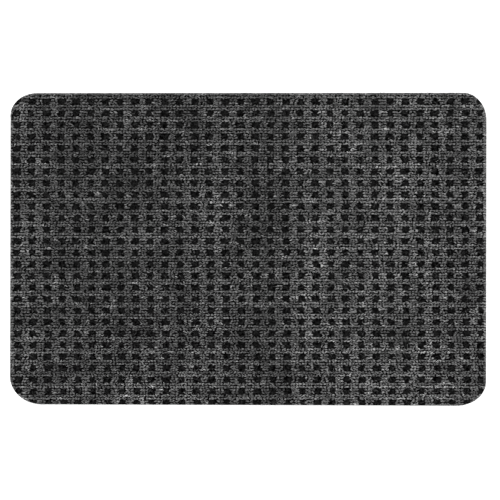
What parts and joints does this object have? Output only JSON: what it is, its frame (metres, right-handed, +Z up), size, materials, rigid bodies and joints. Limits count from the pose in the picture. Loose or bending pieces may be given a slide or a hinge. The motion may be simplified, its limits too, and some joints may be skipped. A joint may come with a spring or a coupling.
{
  "type": "door mat",
  "caption": "Rectangular indoor door mat with rounded corners: a heather grey loop pile with a grid of open black squares on a needled felt ground, with a non-slip rubber backing.",
  "frame": {"origin": "centre of the underside, on the surface that the mat lies on", "axes": "+X along the long side, +Y along the short side, +Z up out of the tread face"},
  "size_m": [0.66, 0.434, 0.007],
  "materials": {
    "backing_rubber": "matt black moulded rubber",
    "latex": "dull dried latex film",
    "ground_fibre": "black needled felt",
    "pile_yarn": "heather grey looped polypropylene fibre"
  },
  "bodies": {
    "root": {"rubber_backing": "backing_rubber", "latex_coat": "latex", "ground_felt": "ground_fibre", "loop_pile": "pile_yarn"}
  },
  "joints": []
}
